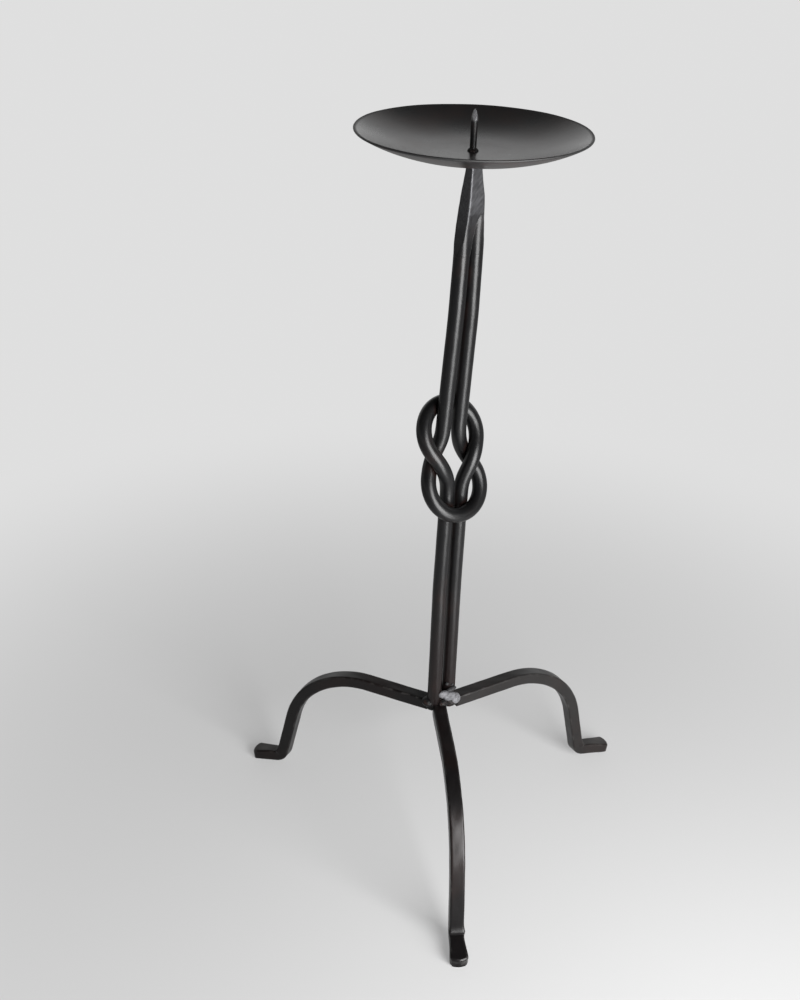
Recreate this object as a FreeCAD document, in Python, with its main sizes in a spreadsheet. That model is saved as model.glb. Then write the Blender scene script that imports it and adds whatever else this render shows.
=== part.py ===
import FreeCAD, Part
import Sketcher
import math
import os
import re

# A pricket candle holder of blackened steel, in millimetres, +Z up, with its origin on the table
# under the stem. The two rods of the stem stand in a row along X, so the knot faces -Y.

# Driving sizes: the name of each cell, its value and what it measures. Angles are in degrees.
SIZES = {
    "rod_diameter": (8.0, "round bar of the stem"),
    "rod_gap": (0.5, "gap between the rods of the upper pair below the taper"),
    "hub_pitch": (10.5, "centre to centre of the rods of the lower pair in the hub"),
    "weld_gap": (0.05, "gap left at each butted or welded face"),
    "rim_height": (419.6, "top of the dish above the table"),
    "dish_radius": (56.0, "outer radius of the dish"),
    "dish_depth": (9.6, "rim to floor inside the dish"),
    "dish_floor_radius": (16.0, "level floor in the middle of the dish"),
    "dish_thickness": (1.5, "sheet of the dish"),
    "spike_diameter": (3.2, "straight shaft of the spike"),
    "spike_length": (18.6, "floor of the dish to the point of the spike"),
    "spike_point_length": (5.0, "ground point of the spike"),
    "spike_tip_diameter": (0.6, "blunt end of the point"),
    "spike_foot_diameter": (2.0, "foot of the spike, bevelled for its weld"),
    "spike_weld_width": (1.2, "collar of weld round the foot of the spike"),
    "spike_weld_height": (1.4, "collar of weld, up the spike"),
    "knot_height": (251.4, "middle of the knot above the table"),
    "knot_shift": (-2.3, "middle of the knot along X from the stem's axis"),
    "upper_shift": (0.8, "middle of the upper pair along X from the stem's axis"),
    "lower_shift": (-1.4, "middle of the lower pair along X from the stem's axis"),
    "knot_reach": (80.0, "middle of the knot to where each pair of rods turns upright"),
    "rod_end_rise": (0.4, "lower end of the lower pair above the middle of the legs' bars"),
    "tip_length": (30.0, "ground square taper under the dish"),
    "tip_foot_width": (10.4, "lower end of the taper, across the row of rods"),
    "tip_foot_depth": (8.2, "lower end of the taper, front to back"),
    "tip_head_width": (5.0, "upper end of the taper, across the row of rods"),
    "tip_head_depth": (3.8, "upper end of the taper, front to back"),
    "shoulder_length": (16.0, "stretch below the taper where the rods are ground in to meet it"),
    "dish_weld_width": (1.4, "fillet of weld round the head of the taper"),
    "dish_weld_height": (1.8, "fillet of weld, down the taper"),
    "leg_width": (7.9, "square bar of the legs, side to side"),
    "leg_thickness": (7.3, "square bar of the legs, top to bottom"),
    "leg_height": (86.8, "middle of the bar above the table, where the leg leaves the hub"),
    "leg_shift": (-3.2, "point the three legs run out from, along X from the stem's axis"),
    "front_leg_run": (47.0, "that point to where the level run ends"),
    "left_leg_run": (46.5, "that point to where the level run ends"),
    "right_leg_run": (51.7, "that point to where the level run ends"),
    "front_leg_reach": (130.4, "that point to the end of the foot"),
    "left_leg_reach": (130.2, "that point to the end of the foot"),
    "right_leg_reach": (138.4, "that point to the end of the foot"),
    "arch_radius": (55.5, "arch of the leg, to the middle of the bar"),
    "shin_angle": (76.5, "slope of the straight shin below the level"),
    "heel_radius": (7.8, "bend into the foot, to the middle of the bar"),
    "toe_chamfer": (1.4, "clipped edges at the end of the foot"),
    "right_leg_turn": (-8.0, "turn of the leg from +X"),
    "left_leg_turn": (116.0, "turn of the leg from +X"),
    "front_leg_turn": (237.0, "turn of the leg from +X"),
    "front_bead_turn": (307.0, "place of the burnished bead round the lower pair"),
    "front_bead_offset": (-1.2, "middle of the burnished bead outside the line of the rods"),
    "front_bead_radius": (6.6, "half width of the burnished bead"),
    "left_bead_turn": (168.0, "place of the dark bead round the lower pair"),
    "left_bead_offset": (-1.2, "middle of the dark bead outside the line of the rods"),
    "left_bead_radius": (5.6, "half width of the dark bead"),
    "back_bead_turn": (47.0, "place of the rear bead round the lower pair"),
    "back_bead_offset": (-1.1, "middle of the rear bead outside the line of the rods"),
    "back_bead_radius": (6.4, "half width of the rear bead"),
}

# Corners of half a hairpin from its leg to its bight, in rod diameters from the middle of the knot:
# across the row, towards the front and up. Each bend's radius is in rod diameters too, and the first
# is where the upright leg turns towards the knot.
KNOT_CORNER_SHARES = ((0.68, -0.36, 1.56), (1.34, -0.67, 0.05), (3.56, 1.36, -3.60))
KNOT_BEND_SHARES = (5.0, 3.1, 2.6, 2.1)

# A hub bead is a flattened ball that sits where the rods meet the tops of the legs: its height as a
# share of its half width, and how far its middle is above the middle of the bars as a share of them.
BEAD_HEIGHT_SHARE = 0.8
BEAD_UP_SHARE = 0.75

doc = FreeCAD.newDocument("candle_holder")


def make_sheet():
    """Put the driving sizes in a spreadsheet, one aliased cell each."""
    table = doc.addObject("Spreadsheet::Sheet", "sizes")
    for row, (alias, (number, meaning)) in enumerate(SIZES.items(), start=1):
        table.set(f"A{row}", meaning)
        table.set(f"B{row}", str(number))
        table.setAlias(f"B{row}", alias)
    doc.recompute()
    return table


sheet = make_sheet()


def formula(text):
    """The text with each cell's name written the way the document's expressions need it."""
    return re.sub(r"[a-z]\w+", lambda word: f"sizes.{word[0]}" if word[0] in SIZES else word[0], text)


def value(text):
    """The number that a formula of cell names gives now."""
    return float(sheet.evalExpression(formula(text)))


def bind(thing, **formulas):
    """Tie properties of an object to formulas of cell names."""
    for name, text in formulas.items():
        thing.setExpression(name.replace("__", "."), formula(text))


FLOOR = "(rim_height - dish_depth)"
SPIKE_FOOT = f"({FLOOR} + weld_gap)"
UNDERSIDE = f"({FLOOR} - dish_thickness)"
TIP_HEAD = f"({UNDERSIDE} - weld_gap)"
TIP_FOOT = f"({TIP_HEAD} - tip_length)"
SHOULDER = f"({TIP_FOOT} - shoulder_length)"
TIP_HALF_PITCH = "((rod_diameter + rod_gap) / 2)"
HUB_HALF_PITCH = "(hub_pitch / 2)"
ROD_END = "(leg_height + rod_end_rise)"
LEG_UNDERSIDE = "(leg_height - leg_thickness / 2)"


# Sketch helpers

def new_sketch(body, name, role):
    """An empty sketch on one of the body's own origin planes."""
    sketch = body.newObject("Sketcher::SketchObject", name)
    plane = next(item for item in body.Origin.OriginFeatures if item.Role == role)
    sketch.AttachmentSupport = [(plane, "")]
    sketch.MapMode = "FlatFace"
    return sketch


def dimension(sketch, kind, geometry, text):
    """A dimension of the given kind, tied to a formula."""
    index = sketch.addConstraint(Sketcher.Constraint(kind, *geometry, value(text)))
    sketch.setExpression(f"Constraints[{index}]", formula(text))


def place_point(sketch, item, end, across, up):
    """Fix one end of a sketch element at formulas measured from the sketch's origin."""
    for kind, text in (("DistanceX", across), ("DistanceY", up)):
        dimension(sketch, kind, (-1, 1, item, end), text)


def closed_outline(sketch, corners):
    """A closed outline of straight lines whose corners are pairs of formulas."""
    spots = [FreeCAD.Vector(value(across), value(up), 0) for across, up in corners]
    lines = [Part.LineSegment(spot, spots[(i + 1) % len(spots)]) for i, spot in enumerate(spots)]
    items = sketch.addGeometry(lines)
    for item, following in zip(items, items[1:] + items[:1]):
        sketch.addConstraint(Sketcher.Constraint("Coincident", item, 2, following, 1))
    for item, (across, up) in zip(items, corners):
        place_point(sketch, item, 1, across, up)


def turned_body(label, corners):
    """A body turned about +Z from a closed outline in the XZ plane."""
    body = doc.addObject("PartDesign::Body", label)
    sketch = new_sketch(body, f"{label}_outline", "XZ_Plane")
    closed_outline(sketch, corners)
    turn_about_z(body, sketch)
    return body


def turn_about_z(body, sketch):
    """Turn a sketch of the XZ plane once round the Z axis."""
    turn = body.newObject("PartDesign::Revolution", f"{body.Name}_turn")
    turn.Profile = sketch
    turn.ReferenceAxis = (sketch, ["V_Axis"])
    body.Tip = turn


# Dish and spike

def make_dish():
    """A shallow dish of even thickness: a level floor, sides on one arc, and a level rim."""
    body = doc.addObject("PartDesign::Body", "drip_dish")
    sketch = new_sketch(body, "dish_outline", "XZ_Plane")
    bottom = value(UNDERSIDE)
    rim = value("rim_height")
    floor_radius = value("dish_floor_radius")
    rise = rim - bottom
    outer = ((value("dish_radius") - floor_radius) ** 2 + rise ** 2) / (2 * rise)
    inner = outer - value("dish_thickness")
    middle = FreeCAD.Vector(floor_radius, bottom + outer, 0)
    down = -math.pi / 2
    arcs = [
        Part.ArcOfCircle(Part.Circle(middle, FreeCAD.Vector(0, 0, 1), radius), down,
                         -math.asin((middle.y - rim) / radius))
        for radius in (inner, outer)
    ]
    feet = [FreeCAD.Vector(0, arc.StartPoint.y, 0) for arc in arcs]
    inside, outside = sketch.addGeometry(arcs)
    floor, base, lip, axis = sketch.addGeometry([
        Part.LineSegment(feet[0], arcs[0].StartPoint),
        Part.LineSegment(feet[1], arcs[1].StartPoint),
        Part.LineSegment(arcs[0].EndPoint, arcs[1].EndPoint),
        Part.LineSegment(feet[1], feet[0]),
    ])
    for pair in ((inside, 3, outside, 3), (lip, 1, inside, 2), (lip, 2, outside, 2),
                 (axis, 1, base, 1), (axis, 2, floor, 1)):
        sketch.addConstraint(Sketcher.Constraint("Coincident", *pair))
    for line, arc in ((floor, inside), (base, outside)):
        sketch.addConstraint(Sketcher.Constraint("Tangent", line, 2, arc, 1))
        sketch.addConstraint(Sketcher.Constraint("PointOnObject", line, 1, -2))
    for line in (floor, base, lip):
        sketch.addConstraint(Sketcher.Constraint("Horizontal", line))
    place_point(sketch, outside, 2, "dish_radius", "rim_height")
    dimension(sketch, "DistanceX", (-1, 1, floor, 2), "dish_floor_radius")
    dimension(sketch, "DistanceY", (-1, 1, base, 1), UNDERSIDE)
    dimension(sketch, "DistanceY", (base, 1, floor, 1), "dish_thickness")
    turn_about_z(body, sketch)
    return body


def make_spike():
    """A straight shaft on a bevelled foot on the floor of the dish, with a blunt ground point."""
    head = f"({FLOOR} + spike_length)"
    return turned_body("pricket_spike", (
        ("0", SPIKE_FOOT),
        ("spike_foot_diameter / 2", SPIKE_FOOT),
        ("spike_diameter / 2", f"{SPIKE_FOOT} + spike_weld_height"),
        ("spike_diameter / 2", f"{head} - spike_point_length"),
        ("spike_tip_diameter / 2", head),
        ("0", head),
    ))


def make_spike_weld():
    """A sloping collar that fills the bevel at the foot of the spike."""
    inside = "(spike_diameter / 2 + weld_gap)"
    return turned_body("spike_weld", (
        ("spike_foot_diameter / 2 + weld_gap", SPIKE_FOOT),
        (f"{inside} + spike_weld_width", SPIKE_FOOT),
        (f"{inside} + spike_weld_width / 2", f"{SPIKE_FOOT} + spike_weld_height / 2"),
        (inside, f"{SPIKE_FOOT} + spike_weld_height"),
    ))


# Stem

def hairpin_route(end_height, half_pitch, pair_shift, way):
    """Corners and bend radii of one hairpin. way is 1 if its legs go up and -1 if they go down."""
    rod = value("rod_diameter")
    shift = value("knot_shift")
    middle = value("knot_height")
    turned = middle + way * value("knot_reach")
    half = [FreeCAD.Vector(pair_shift + half_pitch, 0, height) for height in (end_height, turned)]
    other = [FreeCAD.Vector(pair_shift - half_pitch, 0, height) for height in (end_height, turned)]
    for across, front, up in KNOT_CORNER_SHARES:
        place = FreeCAD.Vector(shift, -way * front * rod, middle + way * up * rod)
        half.append(place + FreeCAD.Vector(across * rod, 0, 0))
        other.append(place - FreeCAD.Vector(across * rod, 0, 0))
    bends = [share * rod for share in KNOT_BEND_SHARES]
    return half + other[::-1], bends + bends[::-1]


def rounded_wire(corners, bends):
    """Straight runs between the corners, joined by tangent arcs of the given radii."""
    edges = []
    start = corners[0]
    for before, corner, after, radius in zip(corners, corners[1:], corners[2:], bends):
        back = (before - corner).normalize()
        ahead = (after - corner).normalize()
        half_angle = back.getAngle(ahead) / 2
        cut = radius / math.tan(half_angle)
        centre = corner + (back + ahead).normalize() * (radius / math.sin(half_angle))
        halfway = centre + (corner - centre).normalize() * radius
        edges.append(Part.LineSegment(start, corner + back * cut).toShape())
        edges.append(Part.Arc(corner + back * cut, halfway, corner + ahead * cut).toShape())
        start = corner + ahead * cut
    edges.append(Part.LineSegment(start, corners[-1]).toShape())
    return Part.Wire(edges)


def make_hairpin(label, end_text, half_pitch, pair_shift, way):
    """A round bar swept along the route of one hairpin, both legs ending at the given height."""
    corners, bends = hairpin_route(value(end_text), value(half_pitch), value(pair_shift), way)
    route = doc.addObject("Part::Feature", f"{label}_route")
    route.Shape = rounded_wire(corners, bends)
    section = doc.addObject("Part::Circle", f"{label}_section")
    bind(section, Radius="rod_diameter / 2", Placement__Base__x=f"{pair_shift} + {half_pitch}",
         Placement__Base__z=end_text)
    bar = doc.addObject("Part::Sweep", f"{label}_sweep")
    bar.Sections = [section]
    bar.Spine = (route, [f"Edge{number}" for number in range(1, len(route.Shape.Edges) + 1)])
    bar.Solid = True
    bar.Frenet = False
    return bar


def make_taper(label, foot, length, foot_size, head_size):
    """A wedge that narrows upwards in the middle of the upper pair."""
    wedge = doc.addObject("Part::Wedge", label)
    wedge.Placement.Rotation = FreeCAD.Rotation(FreeCAD.Vector(1, 0, 0), 90)
    (foot_width, foot_depth), (head_width, head_depth) = foot_size, head_size
    bind(wedge, Ymin="0", Ymax=length, Placement__Base__x="upper_shift", Placement__Base__z=foot,
         Xmin=f"-{foot_width} / 2", Xmax=f"{foot_width} / 2",
         Zmin=f"-{foot_depth} / 2", Zmax=f"{foot_depth} / 2",
         X2min=f"-{head_width} / 2", X2max=f"{head_width} / 2",
         Z2min=f"-{head_depth} / 2", Z2max=f"{head_depth} / 2")
    return wedge


def make_upper_bar():
    """The upper hairpin. Its two ends are welded together and ground to one square taper."""
    bar = make_hairpin("upper_bar", TIP_HEAD, TIP_HALF_PITCH, "upper_shift", 1)
    joint = doc.addObject("Part::Box", "tip_joint")
    bind(joint, Length=f"2 * {TIP_HALF_PITCH}", Width="rod_diameter", Height="tip_length",
         Placement__Base__x=f"upper_shift - {TIP_HALF_PITCH}", Placement__Base__y="-rod_diameter / 2",
         Placement__Base__z=TIP_FOOT)
    blank = doc.addObject("Part::MultiFuse", "tip_blank")
    blank.Shapes = [bar, joint]

    pair_width = f"(2 * {TIP_HALF_PITCH} + 2 * rod_diameter)"
    foot_size = ("tip_foot_width", "tip_foot_depth")
    kept = doc.addObject("Part::MultiFuse", "tip_kept")
    kept.Shapes = [
        make_taper("tip_shoulder", SHOULDER, "shoulder_length",
                   (f"({pair_width} - rod_diameter)", "tip_foot_depth"), foot_size),
        make_taper("tip_taper", TIP_FOOT, "tip_length", foot_size, ("tip_head_width", "tip_head_depth")),
    ]
    around = doc.addObject("Part::Box", "tip_around")
    bind(around, Length=pair_width, Width="2 * rod_diameter", Height="shoulder_length + tip_length",
         Placement__Base__x=f"upper_shift - {pair_width} / 2", Placement__Base__y="-rod_diameter",
         Placement__Base__z=SHOULDER)
    grinding = doc.addObject("Part::Cut", "tip_grinding")
    grinding.Base = around
    grinding.Tool = kept

    ground = doc.addObject("Part::Cut", "upper_knot_bar")
    ground.Base = blank
    ground.Tool = grinding
    return ground


def make_lower_bar():
    """The lower hairpin. Its ends stand in the hub, between the inner ends of the legs."""
    bar = make_hairpin("lower_bar", ROD_END, HUB_HALF_PITCH, "lower_shift", -1)
    bar.Label = "lower_knot_bar"
    return bar


def make_dish_weld(upper_bar):
    """A fillet of weld round the head of the taper, under the dish."""
    fillet = doc.addObject("Part::Cone", "dish_weld_fillet")
    corner = "sqrt(tip_head_width * tip_head_width + tip_head_depth * tip_head_depth) / 2"
    bind(fillet, Height="dish_weld_height", Radius1=corner, Radius2=f"{corner} + dish_weld_width",
         Placement__Base__x="upper_shift", Placement__Base__z=f"{TIP_HEAD} - dish_weld_height")
    ring = doc.addObject("Part::Cut", "dish_weld")
    ring.Base = fillet
    ring.Tool = upper_bar
    return ring


# Legs and hub

def make_leg(label):
    """A square bar that runs out level from the rods, arches down and turns out into a foot."""
    turn = f"{label}_turn"
    run = f"{label}_run"
    reach = f"{label}_reach"
    rods = f"({HUB_HALF_PITCH} * abs(cos({turn})) + (lower_shift - leg_shift) * cos({turn}))"
    root = f"({rods} + rod_diameter / 2 + weld_gap)"
    body = doc.addObject("PartDesign::Body", label)

    spine = new_sketch(body, f"{label}_spine", "XZ_Plane")
    level = value("leg_height")
    sole = value("leg_thickness / 2")
    start = value(run)
    arch = value("arch_radius")
    heel = value("heel_radius")
    slope = math.radians(value("shin_angle"))
    shin = (level - sole - (arch + heel) * (1 - math.cos(slope))) / math.sin(slope)
    knee = FreeCAD.Vector(start + arch * math.sin(slope), level - arch * (1 - math.cos(slope)), 0)
    ankle = knee + FreeCAD.Vector(math.cos(slope), -math.sin(slope), 0) * shin
    instep = ankle.x + heel * math.sin(slope)
    up = FreeCAD.Vector(0, 0, 1)
    quarter = math.pi / 2
    top, bend, shank, hook, foot = spine.addGeometry([
        Part.LineSegment(FreeCAD.Vector(value(root), level, 0), FreeCAD.Vector(start, level, 0)),
        Part.ArcOfCircle(Part.Circle(FreeCAD.Vector(start, level - arch, 0), up, arch),
                         quarter - slope, quarter),
        Part.LineSegment(knee, ankle),
        Part.ArcOfCircle(Part.Circle(FreeCAD.Vector(instep, sole + heel, 0), up, heel),
                         3 * quarter - slope, 3 * quarter),
        Part.LineSegment(FreeCAD.Vector(instep, sole, 0), FreeCAD.Vector(value(reach), sole, 0)),
    ])
    for joint in ((top, 2, bend, 2), (bend, 1, shank, 1), (shank, 2, hook, 1), (hook, 2, foot, 1)):
        spine.addConstraint(Sketcher.Constraint("Tangent", *joint))
    for item in (top, foot):
        spine.addConstraint(Sketcher.Constraint("Horizontal", item))
    place_point(spine, top, 1, root, "leg_height")
    dimension(spine, "DistanceX", (-1, 1, top, 2), run)
    dimension(spine, "Radius", (bend,), "arch_radius")
    dimension(spine, "Radius", (hook,), "heel_radius")
    dimension(spine, "DistanceX", (shank, 1, shank, 2), f"({shin_length()}) * cos(shin_angle)")
    place_point(spine, foot, 2, reach, "leg_thickness / 2")

    section = new_sketch(body, f"{label}_section", "YZ_Plane")
    bind(section, AttachmentOffset__Base__z=root)
    low, high = LEG_UNDERSIDE, f"({LEG_UNDERSIDE} + leg_thickness)"
    side = "leg_width / 2"
    closed_outline(section, ((f"-{side}", low), (side, low), (side, high), (f"-{side}", high)))

    bar = body.newObject("PartDesign::AdditivePipe", f"{label}_bar")
    bar.Profile = section
    bar.Spine = (spine, [])
    body.Tip = bar
    doc.recompute()

    clipped = body.newObject("PartDesign::Chamfer", f"{label}_toe")
    clipped.Base = (bar, toe_edges(bar.Shape))
    bind(clipped, Size="toe_chamfer")
    body.Tip = clipped

    body.Placement.Rotation = FreeCAD.Rotation(FreeCAD.Vector(0, 0, 1), value(turn))
    bind(body, Placement__Rotation__Angle=turn, Placement__Base__x="leg_shift")
    return body


def shin_length():
    """Formula for the straight shin between the arch and the heel's bend."""
    drop = "leg_height - leg_thickness / 2 - (arch_radius + heel_radius) * (1 - cos(shin_angle))"
    return f"({drop}) / sin(shin_angle)"


def toe_edges(shape):
    """Names of the edges round the end of the foot, apart from the one on the table."""
    end = shape.BoundBox.XMax
    names = []
    for number, edge in enumerate(shape.Edges, start=1):
        box = edge.BoundBox
        at_end = math.isclose(box.XMin, end, abs_tol=value("weld_gap"))
        if at_end and box.ZMax > value("leg_thickness / 2"):
            names.append(f"Edge{number}")
    return names


def make_hub_weld(side, neighbours):
    """A bead in the corner between the rods and the tops of the legs, clear of its neighbours."""
    taken = doc.addObject("Part::Compound", f"{side}_neighbours")
    taken.Links = neighbours
    radius = f"{side}_bead_radius"
    turn = f"{side}_bead_turn"
    out = f"({HUB_HALF_PITCH} * abs(cos({turn})) + rod_diameter / 2 + {side}_bead_offset)"
    lump = doc.addObject("Part::Ellipsoid", f"{side}_lump")
    bind(lump, Radius1=f"{BEAD_HEIGHT_SHARE} * {radius}", Radius2=radius, Radius3=radius,
         Placement__Base__x=f"lower_shift + {out} * cos({turn})",
         Placement__Base__y=f"{out} * sin({turn})",
         Placement__Base__z=f"leg_height + {BEAD_UP_SHARE} * leg_thickness")
    bead = doc.addObject("Part::Cut", f"{side}_hub_weld")
    bead.Base = lump
    bead.Tool = taken
    return bead


def main():
    """Build every piece, check it and write it out."""
    upper_bar = make_upper_bar()
    lower_bar = make_lower_bar()
    hub = [lower_bar] + [make_leg(label) for label in ("front_leg", "left_leg", "right_leg")]
    for side in ("front", "left", "back"):
        hub.append(make_hub_weld(side, list(hub)))
    pieces = [make_dish(), make_spike(), make_spike_weld(), upper_bar, make_dish_weld(upper_bar)] + hub
    doc.recompute()

    for thing in doc.Objects:
        if {"Invalid", "Error"} & set(thing.State):
            raise RuntimeError(f"{thing.Label} failed: {thing.State}")
    for piece in pieces:
        if piece.Shape.isNull() or not piece.Shape.isValid() or len(piece.Shape.Solids) != 1:
            raise RuntimeError(f"{piece.Label} is not one sound solid")

    os.makedirs("parts", exist_ok=True)
    for piece in pieces:
        piece.Shape.exportStep(f"parts/{piece.Label}.step")
        print(piece.Label, round(piece.Shape.Volume, 1))


main()
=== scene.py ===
"""A pricket candle holder of blackened steel: the looks of its pieces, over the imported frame."""

import math

import bpy
import numpy as np
from bpy.props import FloatProperty, FloatVectorProperty, PointerProperty
from mathutils import Matrix, Vector


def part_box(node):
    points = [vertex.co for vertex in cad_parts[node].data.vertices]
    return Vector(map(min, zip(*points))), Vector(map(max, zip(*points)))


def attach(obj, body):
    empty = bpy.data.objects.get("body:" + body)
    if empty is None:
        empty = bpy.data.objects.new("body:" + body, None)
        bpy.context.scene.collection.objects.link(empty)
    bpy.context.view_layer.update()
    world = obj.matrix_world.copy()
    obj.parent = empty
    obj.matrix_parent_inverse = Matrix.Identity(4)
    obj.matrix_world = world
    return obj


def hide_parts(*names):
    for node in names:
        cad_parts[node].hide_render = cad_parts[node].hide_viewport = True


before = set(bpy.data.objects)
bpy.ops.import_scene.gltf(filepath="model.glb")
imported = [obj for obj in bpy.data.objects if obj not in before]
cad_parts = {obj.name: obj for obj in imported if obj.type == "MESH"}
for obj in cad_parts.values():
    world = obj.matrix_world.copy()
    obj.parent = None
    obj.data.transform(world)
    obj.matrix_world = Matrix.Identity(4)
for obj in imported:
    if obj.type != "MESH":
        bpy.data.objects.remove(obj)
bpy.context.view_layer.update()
DISH_LOW, DISH_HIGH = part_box("drip_dish")
SPIKE_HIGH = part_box("pricket_spike")[1]
TIP_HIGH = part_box("upper_knot_bar")[1]
ROD_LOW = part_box("lower_knot_bar")[0]

bl_info = {
    "name": "Knotted Candle Holder",
    "version": (1, 0, 0),
    "blender": (4, 5, 0),
    "location": "View3D > Sidebar > Candle Holder",
    "description": "Builds the pieces of a candle holder with a knotted stem",
    "category": "Add Mesh",
}

# Corners of half a hairpin from its leg to its bight, in rod diameters from the middle of the knot
# (across the row, towards the front, up), and the radius of each bend in rod diameters.
KNOT_CORNERS = np.array([(0.68, -0.36, 1.56), (1.34, -0.67, 0.05), (3.56, 1.36, -3.60)])
KNOT_BENDS = np.array([5.0, 3.1, 2.6, 2.1])

# How far apart the legs of each bar enter the knot, as the first corner's own measure across.
UPPER_ENTRY = 0.69
LOWER_ENTRY = 0.60

# Each leg: its turn from +X in degrees, then in metres where its level run ends, where its foot ends,
# how far its toe is turned aside, and how high the sole of its heel is above the table. The last
# number is painted light: how far the whole leg is painted towards a lighter grey, for the light on its side.
LEGS = {
    "front_leg": (237.2, 0.0470, 0.1295, -0.0004, 0.0026, 0.0),
    "left_leg": (116.0, 0.0465, 0.1306, 0.0018, 0.0028, 0.0),
    # The right leg's last number is painted light: its whole bar is painted a lighter grey for the light on
    # its side.
    "right_leg": (-8.0, 0.0517, 0.1386, -0.0026, 0.0040, 0.08),
}

# Where the middle lines of the legs meet, along X in metres.
LEG_SHIFT = -0.0032

# The lumps of each weld bead in the hub: the middle and the half sizes in metres, the seed of the waves,
# how deep the waves are as a share of the radius, the tilt along X and how far the lump is burnished.
HUB_LUMPS = {
    "front_hub_weld": (
        ((0.0022, -0.0038, 0.0902), (0.0048, 0.0044, 0.0042), 1.0, 0.09, 0.0, 0.0),
        ((0.0044, -0.0060, 0.0918), (0.0037, 0.0034, 0.0036), 2.0, 0.03, 0.0, 1.0),
        ((0.0012, -0.0054, 0.0942), (0.0052, 0.0025, 0.0031), 3.0, 0.03, -0.25, 1.0),
        ((-0.0026, -0.0044, 0.0966), (0.0042, 0.0020, 0.0026), 4.0, 0.03, -0.25, 0.95),
        ((0.0030, -0.0046, 0.0984), (0.0034, 0.0016, 0.0012), 6.0, 0.06, 0.0, 0.2),
        ((0.0007, -0.0028, 0.1020), (0.0011, 0.0010, 0.0011), 7.0, 0.09, 0.0, 0.1),
        ((0.0039, -0.0040, 0.1010), (0.0011, 0.0009, 0.0010), 8.0, 0.09, 0.0, 0.1),
        ((-0.0035, -0.0046, 0.0905), (0.0036, 0.0028, 0.0028), 9.0, 0.09, 0.0, 0.0),
    ),
    "left_hub_weld": (
        ((-0.0092, 0.0018, 0.0906), (0.0042, 0.0042, 0.0030), 6.0, 0.05, 0.0, 0.0),
        ((-0.0080, 0.0004, 0.0878), (0.0034, 0.0036, 0.0028), 9.0, 0.05, 0.0, 0.0),
    ),
    "back_hub_weld": (
        ((0.0030, 0.0047, 0.0921), (0.0062, 0.0062, 0.0050), 8.0, 0.09, 0.0, 0.0),
    ),
}

# Each lamp: its width, its length, how far out from the stem and how high its middle is, in metres, and
# its tilt from facing down in degrees. All of them stand at the same turn from +X, in degrees.
LAMPS = {
    "key": (0.44, 0.60, 0.65, 0.35, 90.0),
    "low_strip": (0.20, 0.30, 0.48, 0.004, 180.0),
    "near_strip": (0.17, 0.14, 0.26, 0.004, 180.0),
}
LAMP_TURN = 264.0


# Sizes and colours

def length(name, description, default):
    """A size in metres that a user may change."""
    return FloatProperty(name=name, description=description, default=default, min=0.0, precision=5,
                         unit="LENGTH")


def place(name, description, default):
    """A place along an axis, in metres, that a user may change."""
    return FloatProperty(name=name, description=description, default=default, precision=5,
                         unit="LENGTH")


def colour(name, description, default):
    """A colour that a user may change."""
    return FloatVectorProperty(name=name, description=description, default=default, size=3, min=0.0,
                               max=1.0, subtype="COLOR")


class DishSizes(bpy.types.PropertyGroup):
    """Sizes of the dish and its spike."""
    radius: length("Radius", "Outer radius of the dish", float(DISH_HIGH[0]))
    rim_height: length("Rim height", "Top of the rim above the table", float(DISH_HIGH[2]))
    underside: length("Underside", "Underside of the dish above the table", float(DISH_LOW[2]))
    floor_radius: length("Floor radius", "Level floor in the middle", 0.016)
    thickness: length("Thickness", "Sheet of the dish in the middle", 0.0015)
    rim_thickness: length("Rim thickness", "Sheet of the dish at the rolled rim", 0.0010)
    spike_diameter: length("Spike diameter", "Straight shaft of the spike", 0.0032)
    spike_top: length("Spike top", "Point of the spike above the table", float(SPIKE_HIGH[2]))
    point_length: length("Point length", "Ground point of the spike", 0.0054)
    collar_width: length("Collar width", "Weld round the foot of the spike", 0.0012)
    collar_height: length("Collar height", "Weld up the foot of the spike", 0.0014)


class StemSizes(bpy.types.PropertyGroup):
    """Sizes of the two knotted bars."""
    rod: length("Rod diameter", "Round bar of the stem", 0.008)
    scale: length("Scale", "Forge scale and wax on the round bar", 0.0001)
    knot_height: length("Knot height", "Middle of the knot above the table", 0.2514)
    knot_shift: place("Knot shift", "Middle of the knot along X", -0.0023)
    knot_reach: length("Knot reach", "Middle of the knot to where the rods run straight", 0.080)
    upper_shift: place("Upper shift", "Middle of the upper pair along X", 0.0008)
    upper_pitch: length("Upper pitch", "Centre to centre of the upper pair under the taper", 0.0086)
    upper_spread: length("Upper spread", "Centre to centre of the upper pair above the knot", 0.0097)
    lower_shift: place("Lower shift", "Middle of the lower pair along X", -0.0012)
    lower_pitch: length("Lower pitch", "Centre to centre of the lower pair in the hub", 0.0109)
    lower_spread: length("Lower spread", "Centre to centre of the lower pair under the knot", 0.0107)
    tip_shift: place("Taper shift", "Head of the taper along X", 0.0015)
    tip_head: length("Taper head", "Top of the ground taper", float(TIP_HIGH[2]))
    shoulder: length("Shoulder", "Head of the taper to the lowest grinding", 0.046)
    rod_end: length("Rod ends", "Lower ends of the lower pair", float(ROD_LOW[2]))


class LegSizes(bpy.types.PropertyGroup):
    """Sizes of the three legs."""
    width: length("Width", "Square bar, side to side", 0.0083)
    thickness: length("Thickness", "Square bar, top to bottom", 0.0076)
    edge: length("Edge radius", "Rounding of the bar's long edges", 0.0012)
    height: length("Height", "Middle of the bar above the table at the hub", 0.0868)
    arch: length("Arch radius", "Arch of the leg to the middle of the bar", 0.0555)
    heel: length("Heel radius", "Bend into the foot to the middle of the bar", 0.0066)
    shin_angle: FloatProperty(name="Shin angle", description="Slope of the shin below the level",
                              default=math.radians(76.5), subtype="ANGLE")


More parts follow.
